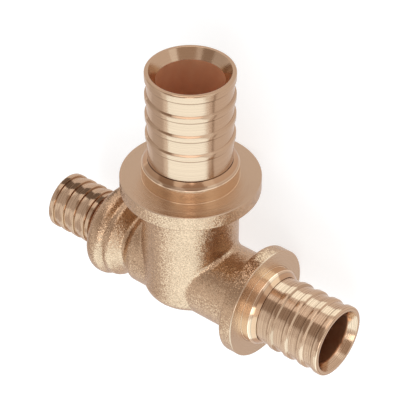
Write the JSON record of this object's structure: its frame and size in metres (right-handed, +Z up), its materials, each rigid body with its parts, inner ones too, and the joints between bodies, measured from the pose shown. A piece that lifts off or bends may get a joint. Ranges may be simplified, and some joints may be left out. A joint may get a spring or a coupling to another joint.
{
  "type": "reducing tee",
  "caption": "One-piece brass reducing tee for sliding-sleeve pipe joints: a large ribbed branch between a middle and a small run end, lying on its flange rims.",
  "frame": {"origin": "under the middle of the tee's box, on the surface that the tee lies on", "axes": "+Z up from the surface; +X along the run towards the middle-sized end, which rises 2.5 degrees; +Y along the branch towards its mouth, which rises 8.8 degrees"},
  "size_m": [0.0856, 0.072, 0.0338],
  "materials": {
    "brass": "grainy forged skin, fine-turned and bright at the spigots, shoulders and flange faces"
  },
  "bodies": {
    "root": {"tee_body": "brass"}
  },
  "joints": []
}
